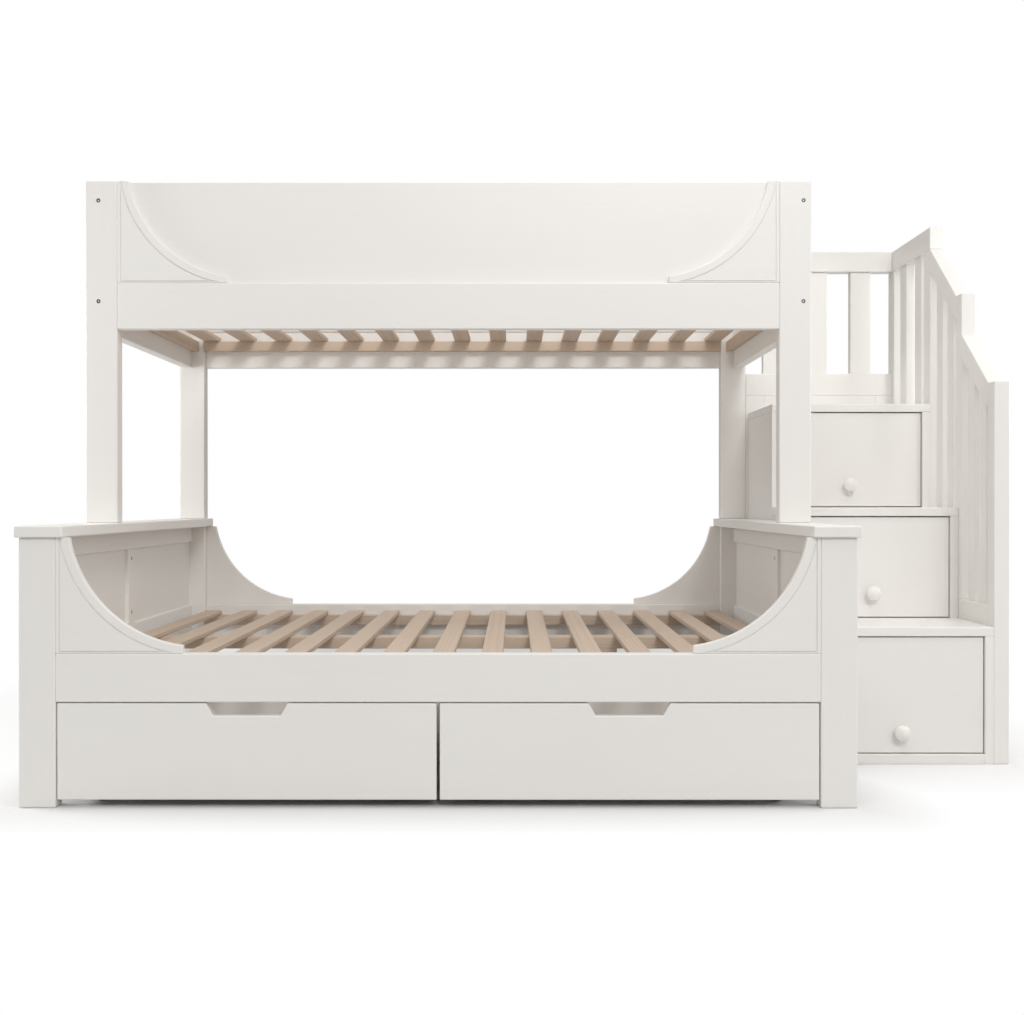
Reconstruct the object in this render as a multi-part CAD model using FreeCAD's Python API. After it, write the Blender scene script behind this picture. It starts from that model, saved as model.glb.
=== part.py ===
"""Single-over-double bunk bed with storage stairs, two underbed drawers and three flap doors.

Millimetres. The construction frame has X = 0 at the middle of the bed, Y = 0 at the front face of
the lower bed and Z = 0 on the floor. The finished pieces are moved so that the origin is at the
centre of the bottom of the whole object: +X runs along the bed to the stairs, +Y to the wall.
"""
import FreeCAD, Part
import os

Vector = FreeCAD.Vector

# ---------------------------------------------------------------- driving dimensions
# Mattresses and the room left around them
MATTRESS_LENGTH = 1900.0
LOWER_MATTRESS_WIDTH = 1350.0
UPPER_MATTRESS_WIDTH = 900.0
MATTRESS_PLAY_LENGTH = 6.0
MATTRESS_PLAY_WIDTH = 20.0

# Posts, caps and rails of the two beds
POST_WIDTH = 92.0
POST_DEPTH = 45.0
LOWER_LEG_HEIGHT = 674.0
HEADROOM = 558.0
CAP_THICKNESS = 29.0
CAP_OVERHANG_OUT = 8.0
CAP_OVERHANG_IN = 20.0
CAP_OVERHANG_FRONT = 10.0
RAIL_THICKNESS = 30.0
LOWER_RAIL_BOTTOM = 264.0
LOWER_RAIL_HEIGHT = 121.0
UPPER_RAIL_HEIGHT = 133.0

# End frames
END_THICKNESS = 37.0
END_SETBACK = 8.0
LOWER_END_TOP_RAIL_HEIGHT = 57.0
UPPER_END_TOP_RAIL_HEIGHT = 80.0
END_STILE_WIDTH = 60.0
END_PANEL_THICKNESS = 15.0
ACCESS_WIDTH = 400.0

# Guards and curved corner wings
GUARD_HEIGHT = 293.0
GUARD_THICKNESS = 16.0
WING_THICKNESS = 18.0
WING_LENGTH = 317.0
WING_TOP_WIDTH = 33.0
WING_TIP_HEIGHT = 20.0
WING_SAGITTA = 65.0
GROOVE_WIDTH = 3.0
GROOVE_DEPTH = 2.5
GROOVE_INSET_SIDE = 9.0
GROOVE_INSET_BOTTOM = 3.5
GROOVE_INSET_CURVE = 20.5

# Slats, ledgers and the centre beam
SLAT_COUNT = 15
SLAT_WIDTH = 58.0
SLAT_THICKNESS = 16.0
SLAT_END_PLAY = 1.0
LEDGER_WIDTH = 28.0
LEDGER_HEIGHT = 36.0
LOWER_DECK_IN_RAIL = 83.0
UPPER_DECK_IN_RAIL = 95.0
BEAM_WIDTH = 60.0
BEAM_HEIGHT = 36.0

# Underbed drawers
DRAWER_BOTTOM = 20.0
DRAWER_TOP_GAP = 3.0
DRAWER_SIDE_GAP = 3.0
DRAWER_CENTRE_GAP = 8.0
DRAWER_RECESS = 2.0
DRAWER_FRONT_THICKNESS = 22.0
DRAWER_STOP_GAP = 0.3
CUTOUT_TOP_WIDTH = 203.0
CUTOUT_BOTTOM_WIDTH = 168.0
CUTOUT_DEPTH = 31.0
BOX_INSET = 12.0
BOX_SIDE_THICKNESS = 15.0
BOX_BOTTOM_THICKNESS = 12.0
BOX_SIDE_HEIGHT = 160.0
WHEEL_RADIUS = 25.0
WHEEL_WIDTH = 18.0
AXLE_RADIUS = 3.0
RUNNING_CLEARANCE = 0.05
BRACKET_SHEET = 2.0
BRACKET_WIDTH = 20.0
BRACKET_FLANGE = 46.0
BRACKET_GAP = 1.0
WHEEL_HEADROOM = 2.0
EAR_BELOW_AXLE = 8.0
WHEEL_INSET_SIDE = 60.0
WHEEL_INSET_FRONT = 60.0
WHEEL_INSET_BACK = 60.0

# Stairs
STAIR_TO_CAP_GAP = 2.0
STAIR_WIDTH = 530.0
LOWER_STEP_DEPTH = 267.0
MIDDLE_STEP_DEPTH = 250.0
TOP_STEP_DEPTH = 385.0
FIRST_RISE = 399.0
STEP_RISE = 347.0
TREAD_THICKNESS = 27.0
TREAD_TONGUE = 36.0
LEFT_SIDE_THICKNESS = 16.0
RIGHT_SIDE_THICKNESS = 25.0
PLINTH_HEIGHT = 29.0
PLINTH_THICKNESS = 18.0
FLOOR_THICKNESS = 18.0
STAIR_BACK_DEPTH = 45.0
BACK_ABOVE_TREAD = 64.0
BACK_STILE_WIDTH = 60.0
BACK_RAIL_HEIGHT = 91.0
BACK_BOARD_THICKNESS = 12.0

# Flap doors, their pivots, stops and knobs
DOOR_THICKNESS = 18.0
DOOR_RECESS = 8.0
DOOR_SIDE_GAP = 2.5
DOOR_TOP_GAP = 3.0
DOOR_BOTTOM_GAP = 3.0
PIVOT_BELOW_TOP = 13.0
PIVOT_BEHIND_FRONT = 9.0
PIVOT_RADIUS = 3.0
PIVOT_FIT = 0.02
PIVOT_IN_SIDE = 12.0
PIVOT_IN_DOOR = 12.0
STOP_LENGTH = 60.0
STOP_HEIGHT = 20.0
STOP_DEPTH = 15.0
STOP_GAP = 0.3
KNOB_HEIGHTS = (60.0, 76.0, 72.0)
KNOB_LENGTH = 33.0
KNOB_FOOT_RADIUS = 14.0
KNOB_FOOT_LENGTH = 3.3
KNOB_NECK_RADIUS = 10.0
KNOB_NECK_REACH = 9.9
KNOB_RIM_RADIUS = 23.0
KNOB_RIM_REACH = 21.5
KNOB_RIM_HALF_WIDTH = 5.7
KNOB_DOME_RADIUS = 20.0

# Handrail and back railing
HANDRAIL_THICKNESS = 45.0
HANDRAIL_FRONT_POST = 46.0
HANDRAIL_MID_POST = 45.0
MID_POST_AHEAD = 21.0
HANDRAIL_HIGH_POST = 56.0
HIGH_POST_BEHIND = 3.0
HANDRAIL_CORNER_POST = 63.0
HANDRAIL_FRONT_TOP = 1115.0
HANDRAIL_MID_TOP = 1415.0
MID_POST_ABOVE_SLOPE = 129.0
SLOPE_DEPTH = 78.0
HANDRAIL_TOP_RAIL_HEIGHT = 74.0
BOTTOM_RAIL_ABOVE_TREAD = 62.0
HANDRAIL_BOTTOM_RAIL_HEIGHT = 92.0
BALUSTER_THICKNESS = 30.0
BALUSTER_WIDTH = 49.0
BALUSTERS_PER_SLOPE = 2
REAR_SLAT_WIDTH = 62.0
REAR_SLAT_PITCH = 149.0
RAILING_BOTTOM_RAIL_HEIGHT = 80.0
RAILING_SLAT_COUNT = 3
RAILING_SLAT_WIDTH = 73.0
RAILING_SLAT_PITCH = 161.0
RAILING_FIRST_GAP = 66.0

# Bolts through the posts and screws in the end stiles
BOLT_HEAD_RADIUS = 6.0
BOLT_HEAD_LENGTH = 4.0
BOLT_HEAD_DEPTH = 1.0
BOLT_SHANK_RADIUS = 3.0
BOLT_LENGTH = 85.0
BOLT_CLEARANCE = 0.1
BOLT_HEX_RADIUS = 2.6
BOLT_HEX_DEPTH = 2.5
BOLT_FROM_POST_TOP = 56.0
BOLT_ABOVE_RAIL_BOTTOM = 80.0
LEFT_BOLTS_IN_FROM_MIDDLE = 11.5
RIGHT_BOLTS_OUT_FROM_MIDDLE = 3.5
SCREW_BELOW_TOP_RAIL = 29.0
SCREW_ABOVE_BOTTOM_RAIL = 36.0
SCREW_LENGTH = 20.0

# Eased edges
EASE_POST = 4.0
EASE_BOARD = 3.0
EASE_SMALL = 2.0
EASE_SLAT = 4.0

# ---------------------------------------------------------------- derived places
INNER_LENGTH = MATTRESS_LENGTH + MATTRESS_PLAY_LENGTH
POST_INNER_X = INNER_LENGTH / 2
POST_OUTER_X = POST_INNER_X + POST_WIDTH
LOWER_DEPTH = LOWER_MATTRESS_WIDTH + MATTRESS_PLAY_WIDTH + 2 * RAIL_THICKNESS
UPPER_DEPTH = UPPER_MATTRESS_WIDTH + MATTRESS_PLAY_WIDTH + 2 * RAIL_THICKNESS
REAR_Y = LOWER_DEPTH
UPPER_FRONT_Y = REAR_Y - UPPER_DEPTH
CAP_TOP = LOWER_LEG_HEIGHT + CAP_THICKNESS
LOWER_RAIL_TOP = LOWER_RAIL_BOTTOM + LOWER_RAIL_HEIGHT
UPPER_RAIL_BOTTOM = CAP_TOP + HEADROOM
UPPER_RAIL_TOP = UPPER_RAIL_BOTTOM + UPPER_RAIL_HEIGHT
TOTAL_HEIGHT = UPPER_RAIL_TOP + GUARD_HEIGHT
LOWER_DECK = LOWER_RAIL_BOTTOM + LOWER_DECK_IN_RAIL
UPPER_DECK = UPPER_RAIL_BOTTOM + UPPER_DECK_IN_RAIL
END_OUTER_X = POST_OUTER_X - END_SETBACK
END_INNER_X = END_OUTER_X - END_THICKNESS
ACCESS_FRONT_Y = REAR_Y - POST_DEPTH - ACCESS_WIDTH

STAIR_LEFT = POST_OUTER_X + CAP_OVERHANG_OUT + STAIR_TO_CAP_GAP
STAIR_RIGHT = STAIR_LEFT + STAIR_WIDTH
INSIDE_LEFT = STAIR_LEFT + LEFT_SIDE_THICKNESS
INSIDE_RIGHT = STAIR_RIGHT - RIGHT_SIDE_THICKNESS
STAIR_BACK_Y = REAR_Y - STAIR_BACK_DEPTH
TOP_STEP_FRONT = STAIR_BACK_Y - TOP_STEP_DEPTH
MIDDLE_STEP_FRONT = TOP_STEP_FRONT - MIDDLE_STEP_DEPTH
LOWER_STEP_FRONT = MIDDLE_STEP_FRONT - LOWER_STEP_DEPTH
STEP_FRONTS = (LOWER_STEP_FRONT, MIDDLE_STEP_FRONT, TOP_STEP_FRONT)
TREAD_TOPS = (FIRST_RISE, FIRST_RISE + STEP_RISE, FIRST_RISE + 2 * STEP_RISE)
STAIR_BACK_TOP = TREAD_TOPS[2] + BACK_ABOVE_TREAD
HANDRAIL_OUTER_X = STAIR_RIGHT + HANDRAIL_THICKNESS
HANDRAIL_TOP_RAIL_BOTTOM = TOTAL_HEIGHT - HANDRAIL_TOP_RAIL_HEIGHT
HANDRAIL_CORNER_FRONT = REAR_Y - HANDRAIL_CORNER_POST
HANDRAIL_MID_FRONT = MIDDLE_STEP_FRONT - MID_POST_AHEAD
HANDRAIL_HIGH_FRONT = TOP_STEP_FRONT + HIGH_POST_BEHIND
HANDRAIL_BOTTOM_RAIL_TOP = FIRST_RISE + BOTTOM_RAIL_ABOVE_TREAD
SLOPE_MEETS_MID_POST = HANDRAIL_MID_TOP - MID_POST_ABOVE_SLOPE
BALUSTER_RECESS = (HANDRAIL_THICKNESS - BALUSTER_THICKNESS) / 2
DOOR_LEFT = INSIDE_LEFT + DOOR_SIDE_GAP
DOOR_RIGHT = INSIDE_RIGHT - DOOR_SIDE_GAP

BEAM_Y = (REAR_Y - BEAM_WIDTH) / 2
DRAWER_TOP = LOWER_RAIL_BOTTOM - DRAWER_TOP_GAP
DRAWER_WIDTH = POST_INNER_X - DRAWER_SIDE_GAP - DRAWER_CENTRE_GAP / 2
DRAWER_BACK_Y = BEAM_Y - DRAWER_STOP_GAP
BOX_BOTTOM = 2 * WHEEL_RADIUS + WHEEL_HEADROOM + BRACKET_SHEET

ORIGIN_X = (HANDRAIL_OUTER_X - POST_OUTER_X - CAP_OVERHANG_OUT) / 2
ORIGIN_Y = (REAR_Y - CAP_OVERHANG_FRONT) / 2

nodes = {}


# ---------------------------------------------------------------- helpers
def add(name, *solids):
    """Put the solids under a node's name."""
    nodes.setdefault(name, []).extend(solids)


def box(x0, x1, y0, y1, z0, z1):
    """A plain board between two corners."""
    return Part.makeBox(x1 - x0, y1 - y0, z1 - z0, Vector(x0, y0, z0))


def eased(solid, radius):
    """The same solid with every edge rounded."""
    return solid.makeFillet(radius, solid.Edges)


def board(x0, x1, y0, y1, z0, z1, ease=EASE_BOARD):
    """A board with rounded edges."""
    return eased(box(x0, x1, y0, y1, z0, z1), ease)


def rod(radius, length, start, direction):
    """A round bar from its start along a direction."""
    return Part.makeCylinder(radius, length, start, direction)


def prism(points, thickness, direction):
    """A flat outline of corner points, pushed through a thickness."""
    face = Part.Face(Part.makePolygon([*points, points[0]]))
    return face.extrude(direction * thickness)


def mirrored(solid, about_y=None):
    """The solid mirrored left to right, or front to back about a plane of constant Y."""
    if about_y is None:
        return solid.mirror(Vector(0, 0, 0), Vector(1, 0, 0))
    return solid.mirror(Vector(0, about_y, 0), Vector(0, 1, 0))


def bolt_holes(solid, places):
    """Drill the post bolts' clearance holes and counterbores along +Y."""
    for x, y, z in places:
        shank = rod(BOLT_SHANK_RADIUS + BOLT_CLEARANCE, BOLT_LENGTH, Vector(x, y, z), Vector(0, 1, 0))
        depth = BOLT_HEAD_DEPTH + BOLT_HEAD_LENGTH
        head = rod(BOLT_HEAD_RADIUS + BOLT_CLEARANCE, depth, Vector(x, y, z), Vector(0, 1, 0))
        solid = solid.cut(shank.fuse(head))
    return solid


# ---------------------------------------------------------------- lower bed
def lower_legs():
    for side, mirror_it in (("right", False), ("left", True)):
        for end, y0 in (("front", 0.0), ("rear", REAR_Y - POST_DEPTH)):
            leg = board(POST_INNER_X, POST_OUTER_X, y0, y0 + POST_DEPTH, 0, LOWER_LEG_HEIGHT, EASE_POST)
            add(f"lower_{end}_{side}_leg", mirrored(leg) if mirror_it else leg)


def lower_end_frames():
    y0 = POST_DEPTH
    y1 = REAR_Y - POST_DEPTH
    x0 = END_INNER_X
    x1 = END_OUTER_X
    stile_y0 = (REAR_Y - END_STILE_WIDTH) / 2
    stile_y1 = stile_y0 + END_STILE_WIDTH
    top_rail_z = LOWER_LEG_HEIGHT - LOWER_END_TOP_RAIL_HEIGHT
    panel_x = (x0 + x1 - END_PANEL_THICKNESS) / 2
    top = board(x0, x1, y0, y1, top_rail_z, LOWER_LEG_HEIGHT)
    bottom = board(x0, x1, y0, y1, LOWER_RAIL_BOTTOM, LOWER_RAIL_TOP)
    stile = board(x0, x1, stile_y0, stile_y1, LOWER_RAIL_TOP, top_rail_z)
    screws = []
    for z in (LOWER_RAIL_TOP + SCREW_ABOVE_BOTTOM_RAIL, top_rail_z - SCREW_BELOW_TOP_RAIL):
        start = Vector(x0, REAR_Y / 2, z)
        stile = stile.cut(rod(BOLT_HEAD_RADIUS + BOLT_CLEARANCE, SCREW_LENGTH, start, Vector(1, 0, 0)))
        start.x += BOLT_HEAD_DEPTH
        screw = rod(BOLT_HEAD_RADIUS, SCREW_LENGTH - BOLT_HEAD_DEPTH, start, Vector(1, 0, 0))
        screws.append(screw.cut(rod(BOLT_HEX_RADIUS, BOLT_HEX_DEPTH, start, Vector(1, 0, 0))))
    panels = [
        box(panel_x, panel_x + END_PANEL_THICKNESS, y0, stile_y0, LOWER_RAIL_TOP, top_rail_z),
        box(panel_x, panel_x + END_PANEL_THICKNESS, stile_y1, y1, LOWER_RAIL_TOP, top_rail_z),
    ]
    for name, solids in (("lower_end_rails", [top, bottom]), ("lower_end_stiles", [stile]),
                         ("lower_end_panels", panels), ("frame_bolts", screws)):
        add(name, *solids)
        add(name, *[mirrored(solid) for solid in solids])


def cap_shelves():
    cap = board(POST_INNER_X - CAP_OVERHANG_IN, POST_OUTER_X + CAP_OVERHANG_OUT,
                -CAP_OVERHANG_FRONT, REAR_Y, LOWER_LEG_HEIGHT, CAP_TOP, EASE_POST)
    add("cap_shelves", cap, mirrored(cap))


def lower_side_rails():
    front = board(-POST_INNER_X, POST_INNER_X, 0, RAIL_THICKNESS, LOWER_RAIL_BOTTOM, LOWER_RAIL_TOP)
    add("lower_front_rail", front)
    add("lower_rear_rail", mirrored(front, REAR_Y / 2))


def wing(front_y, bottom_z, top_z):
    """A quarter-curved corner panel at the right-hand post, with a groove following its outline."""
    height = top_z - bottom_z
    start = Vector(WING_TOP_WIDTH, 0, height)
    end = Vector(WING_LENGTH, 0, WING_TIP_HEIGHT)
    chord = end - start
    outward = Vector(chord.z, 0, -chord.x) / chord.Length
    middle = (start + end) / 2 + outward * WING_SAGITTA
    arc = Part.Arc(start, middle, end).toShape()
    centre = arc.Curve.Center
    radius = arc.Curve.Radius
    corner = Vector(0, 0, 0)
    foot = Vector(WING_LENGTH, 0, 0)
    head = Vector(0, 0, height)
    edges = [Part.makeLine(head, start), arc, Part.makeLine(end, foot),
             Part.makeLine(foot, corner), Part.makeLine(corner, head)]
    panel = Part.Face(Part.Wire(Part.__sortEdges__(edges))).extrude(Vector(0, WING_THICKNESS, 0))
    panel = eased(panel, EASE_SMALL)

    def field(inset):
        plate = box(GROOVE_INSET_SIDE + inset, WING_LENGTH, 0, GROOVE_DEPTH,
                    GROOVE_INSET_BOTTOM + inset, height)
        reach = radius + GROOVE_INSET_CURVE + inset
        return plate.cut(rod(reach, GROOVE_DEPTH, centre, Vector(0, 1, 0)))

    panel = panel.cut(field(0).cut(field(GROOVE_WIDTH)))
    turned = panel.mirror(Vector(0, 0, 0), Vector(1, 0, 0))
    turned.translate(Vector(POST_INNER_X, front_y, bottom_z))
    return turned


def lower_wings():
    """Four wings, their grooves on the outside."""
    front = wing(0, LOWER_RAIL_TOP, LOWER_LEG_HEIGHT)
    rear = mirrored(front, REAR_Y / 2)
    add("lower_wings", front, mirrored(front), rear, mirrored(rear))


def slat_deck(name, y0, y1, z0):
    """A row of slats lying front to back, the outer two level with the posts' inner faces."""
    span = INNER_LENGTH - 2 * SLAT_END_PLAY - SLAT_WIDTH
    pitch = span / (SLAT_COUNT - 1)
    slat = board(0, SLAT_WIDTH, y0, y1, z0, z0 + SLAT_THICKNESS, EASE_SLAT)
    for index in range(SLAT_COUNT):
        copy = slat.copy()
        copy.translate(Vector(-POST_INNER_X + SLAT_END_PLAY + index * pitch, 0, 0))
        add(name, copy)


def lower_deck():
    y0 = RAIL_THICKNESS
    y1 = REAR_Y - RAIL_THICKNESS
    z0 = LOWER_DECK - LEDGER_HEIGHT
    ledger = board(-POST_INNER_X, POST_INNER_X, y0, y0 + LEDGER_WIDTH, z0, LOWER_DECK, EASE_SMALL)
    add("lower_slat_ledgers", ledger, mirrored(ledger, REAR_Y / 2))
    beam_z = LOWER_DECK - BEAM_HEIGHT
    beam = board(-END_INNER_X, END_INNER_X, BEAM_Y, BEAM_Y + BEAM_WIDTH, beam_z, LOWER_DECK, EASE_SMALL)
    leg_x = (DRAWER_CENTRE_GAP + DRAWER_WIDTH - BEAM_WIDTH) / 2
    leg = board(leg_x, leg_x + BEAM_WIDTH, BEAM_Y, BEAM_Y + BEAM_WIDTH, 0, beam_z, EASE_SMALL)
    add("centre_beam", beam, leg, mirrored(leg))
    slat_deck("lower_slats", y0 + SLAT_END_PLAY, y1 - SLAT_END_PLAY, LOWER_DECK)


# ---------------------------------------------------------------- upper bed
def bolt_places(side):
    """The two bolts of a post, as X and Z, for the right-hand or the left-hand end."""
    middle = (END_INNER_X + END_OUTER_X) / 2
    x = middle + RIGHT_BOLTS_OUT_FROM_MIDDLE if side == "right" else LEFT_BOLTS_IN_FROM_MIDDLE - middle
    heights = (UPPER_RAIL_BOTTOM + BOLT_ABOVE_RAIL_BOTTOM, TOTAL_HEIGHT - BOLT_FROM_POST_TOP)
    return [(x, UPPER_FRONT_Y, z) for z in heights]


def upper_posts():
    for side, mirror_it in (("right", False), ("left", True)):
        for end, y0 in (("front", UPPER_FRONT_Y), ("rear", REAR_Y - POST_DEPTH)):
            post = board(POST_INNER_X, POST_OUTER_X, y0, y0 + POST_DEPTH, CAP_TOP, TOTAL_HEIGHT, EASE_POST)
            post = mirrored(post) if mirror_it else post
            if end == "front":
                post = bolt_holes(post, bolt_places(side))
            add(f"upper_{end}_{side}_post", post)


def frame_bolts():
    """Socket-head bolts that hold the end rails to the front posts."""
    for side in ("left", "right"):
        for x, y, z in bolt_places(side):
            start = Vector(x, y + BOLT_HEAD_DEPTH, z)
            ahead = Vector(0, 1, 0)
            head = rod(BOLT_HEAD_RADIUS, BOLT_HEAD_LENGTH, start, ahead)
            head = head.cut(rod(BOLT_HEX_RADIUS, BOLT_HEX_DEPTH, start, ahead))
            shank_start = start + ahead * BOLT_HEAD_LENGTH
            shank_length = BOLT_LENGTH - BOLT_HEAD_DEPTH - BOLT_HEAD_LENGTH
            add("frame_bolts", head.fuse(rod(BOLT_SHANK_RADIUS, shank_length, shank_start, ahead)))


def upper_side_rails():
    front_y = UPPER_FRONT_Y
    front = board(-POST_INNER_X, POST_INNER_X, front_y, front_y + RAIL_THICKNESS,
                  UPPER_RAIL_BOTTOM, UPPER_RAIL_TOP)
    guard_y = front_y + WING_THICKNESS
    guard = board(-POST_INNER_X, POST_INNER_X, guard_y, guard_y + GUARD_THICKNESS,
                  UPPER_RAIL_TOP, TOTAL_HEIGHT, EASE_SMALL)
    middle = (UPPER_FRONT_Y + REAR_Y) / 2
    add("upper_front_rail", front)
    add("upper_rear_rail", mirrored(front, middle))
    add("upper_front_guard", guard)
    add("upper_rear_guard", mirrored(guard, middle))
    front_wing = wing(front_y, UPPER_RAIL_TOP, TOTAL_HEIGHT)
    add("upper_wings", front_wing, mirrored(front_wing))


def upper_end_frames():
    """Closed guard at the left end; at the stairs' end it stops at a short post beside the way in."""
    x0 = END_INNER_X
    x1 = END_OUTER_X
    y0 = UPPER_FRONT_Y + POST_DEPTH
    y1 = REAR_Y - POST_DEPTH
    access_post_y = ACCESS_FRONT_Y - POST_DEPTH
    top_z = TOTAL_HEIGHT - UPPER_END_TOP_RAIL_HEIGHT
    panel_x = (x0 + x1 - END_PANEL_THICKNESS) / 2
    rail = board(x0, x1, y0, y1, UPPER_RAIL_BOTTOM, UPPER_RAIL_TOP)
    for side, guard_end in (("right", access_post_y), ("left", y1)):
        top = board(x0, x1, y0, guard_end, top_z, TOTAL_HEIGHT)
        panel = box(panel_x, panel_x + END_PANEL_THICKNESS, y0, guard_end, UPPER_RAIL_TOP, top_z)
        pieces = [rail, top, panel]
        if side == "left":
            pieces = [mirrored(piece) for piece in pieces]
        places = bolt_places(side)
        add("upper_end_rails", bolt_holes(pieces[0], places), bolt_holes(pieces[1], places))
        add("upper_end_panels", pieces[2])
    post = board(x0, x1, access_post_y, ACCESS_FRONT_Y, UPPER_RAIL_TOP, TOTAL_HEIGHT)
    add("access_post", post)


def upper_deck():
    y0 = UPPER_FRONT_Y + RAIL_THICKNESS
    y1 = REAR_Y - RAIL_THICKNESS
    z0 = UPPER_DECK - LEDGER_HEIGHT
    middle = (UPPER_FRONT_Y + REAR_Y) / 2
    ledger = board(-POST_INNER_X, POST_INNER_X, y0, y0 + LEDGER_WIDTH, z0, UPPER_DECK, EASE_SMALL)
    end = board(END_INNER_X - LEDGER_WIDTH, END_INNER_X, UPPER_FRONT_Y + POST_DEPTH,
                REAR_Y - POST_DEPTH, z0, UPPER_DECK, EASE_SMALL)
    add("upper_slat_ledgers", ledger, mirrored(ledger, middle), end, mirrored(end))
    slat_deck("upper_slats", y0 + SLAT_END_PLAY, y1 - SLAT_END_PLAY, UPPER_DECK)


# ---------------------------------------------------------------- underbed drawers
def castor(x, y):
    """Sheet-steel bracket with a riveted axle, and its wheel, centred on an axle point."""
    ear_x = WHEEL_WIDTH / 2 + BRACKET_GAP
    outer_x = ear_x + BRACKET_SHEET
    top_z = BOX_BOTTOM
    flange = box(x - outer_x, x + outer_x, y - BRACKET_FLANGE / 2, y + BRACKET_FLANGE / 2,
                 top_z - BRACKET_SHEET, top_z)
    ear_bottom = WHEEL_RADIUS - EAR_BELOW_AXLE
    half = BRACKET_WIDTH / 2
    left_ear = box(x - outer_x, x - ear_x, y - half, y + half, ear_bottom, top_z)
    right_ear = box(x + ear_x, x + outer_x, y - half, y + half, ear_bottom, top_z)
    across = Vector(1, 0, 0)
    axle = rod(AXLE_RADIUS, 2 * outer_x, Vector(x - outer_x, y, WHEEL_RADIUS), across)
    bracket = flange.fuse([left_ear, right_ear, axle]).removeSplitter()
    hub = Vector(x - WHEEL_WIDTH / 2, y, WHEEL_RADIUS)
    wheel = eased(rod(WHEEL_RADIUS, WHEEL_WIDTH, hub, across), EASE_SMALL)
    wheel = wheel.cut(rod(AXLE_RADIUS + RUNNING_CLEARANCE, WHEEL_WIDTH, hub, across))
    return bracket, wheel


def drawer_front(x0, x1):
    """Front board with a tapered finger cut-out in the middle of its top edge."""
    y0 = DRAWER_RECESS
    middle = (x0 + x1) / 2
    low_z = DRAWER_TOP - CUTOUT_DEPTH
    half_top = CUTOUT_TOP_WIDTH / 2
    half_bottom = CUTOUT_BOTTOM_WIDTH / 2
    points = [Vector(x0, y0, DRAWER_BOTTOM), Vector(x1, y0, DRAWER_BOTTOM), Vector(x1, y0, DRAWER_TOP),
              Vector(middle + half_top, y0, DRAWER_TOP), Vector(middle + half_bottom, y0, low_z),
              Vector(middle - half_bottom, y0, low_z), Vector(middle - half_top, y0, DRAWER_TOP),
              Vector(x0, y0, DRAWER_TOP)]
    return eased(prism(points, DRAWER_FRONT_THICKNESS, Vector(0, 1, 0)), EASE_BOARD)


def drawer(side):
    x0 = DRAWER_CENTRE_GAP / 2
    if side == "left":
        x0 = -x0 - DRAWER_WIDTH
    x1 = x0 + DRAWER_WIDTH
    y0 = DRAWER_RECESS + DRAWER_FRONT_THICKNESS
    y1 = DRAWER_BACK_Y
    inner_y1 = y1 - BOX_SIDE_THICKNESS
    left = x0 + BOX_INSET
    right = x1 - BOX_INSET
    inner_left = left + BOX_SIDE_THICKNESS
    inner_right = right - BOX_SIDE_THICKNESS
    z0 = BOX_BOTTOM
    z1 = z0 + BOX_SIDE_HEIGHT
    add(f"{side}_drawer_front", drawer_front(x0, x1))
    add(f"{side}_drawer_box",
        board(left, inner_left, y0, y1, z0, z1, EASE_SMALL),
        board(inner_right, right, y0, y1, z0, z1, EASE_SMALL),
        board(inner_left, inner_right, inner_y1, y1, z0, z1, EASE_SMALL),
        box(inner_left, inner_right, y0, inner_y1, z0, z0 + BOX_BOTTOM_THICKNESS))
    for row, y in (("front", y0 + WHEEL_INSET_FRONT), ("rear", inner_y1 - WHEEL_INSET_BACK)):
        for x in (inner_left + WHEEL_INSET_SIDE, inner_right - WHEEL_INSET_SIDE):
            bracket, wheel = castor(x, y)
            add(f"{side}_drawer_castor_brackets", bracket)
            add(f"{side}_drawer_{row}_wheels", wheel)


# ---------------------------------------------------------------- stairs
def step_rear(index):
    """Where the step's open tread ends: at the next step's front, or at the back frame."""
    return STEP_FRONTS[index + 1] if index + 1 < len(STEP_FRONTS) else STAIR_BACK_Y


def stair_side(x0, x1):
    """One stepped side, up to the undersides of the treads."""
    points = [Vector(x0, STAIR_BACK_Y, 0), Vector(x0, STEP_FRONTS[0], 0)]
    for index, top in enumerate(TREAD_TOPS):
        z = top - TREAD_THICKNESS
        points.append(Vector(x0, STEP_FRONTS[index], z))
        points.append(Vector(x0, step_rear(index), z))
    return eased(prism(points, x1 - x0, Vector(1, 0, 0)), EASE_SMALL)


def door_pivot(index):
    """Axis height and depth of a flap door's pivots."""
    top = TREAD_TOPS[index] - TREAD_THICKNESS - DOOR_TOP_GAP
    return STEP_FRONTS[index] + DOOR_RECESS + PIVOT_BEHIND_FRONT, top - PIVOT_BELOW_TOP


def stair_sides():
    left = stair_side(STAIR_LEFT, INSIDE_LEFT)
    right = stair_side(INSIDE_RIGHT, STAIR_RIGHT)
    hole_radius = PIVOT_RADIUS + PIVOT_FIT
    for index in range(len(STEP_FRONTS)):
        y, z = door_pivot(index)
        left = left.cut(rod(hole_radius, PIVOT_IN_SIDE, Vector(INSIDE_LEFT, y, z), Vector(-1, 0, 0)))
        right = right.cut(rod(hole_radius, PIVOT_IN_SIDE, Vector(INSIDE_RIGHT, y, z), Vector(1, 0, 0)))
    add("stair_left_side", left)
    add("stair_right_side", right)


def treads():
    for name, index in (("lower_tread", 0), ("middle_tread", 1), ("upper_tread", 2)):
        z1 = TREAD_TOPS[index]
        z0 = z1 - TREAD_THICKNESS
        rear = step_rear(index)
        tread = board(STAIR_LEFT, STAIR_RIGHT, STEP_FRONTS[index], rear, z0, z1)
        if index + 1 < len(STEP_FRONTS):
            inside = rear - 2 * EASE_BOARD
            tread = tread.fuse(box(INSIDE_LEFT, INSIDE_RIGHT, inside, rear + TREAD_TONGUE, z0, z1))
            tread = tread.removeSplitter()
        add(name, tread)


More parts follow.
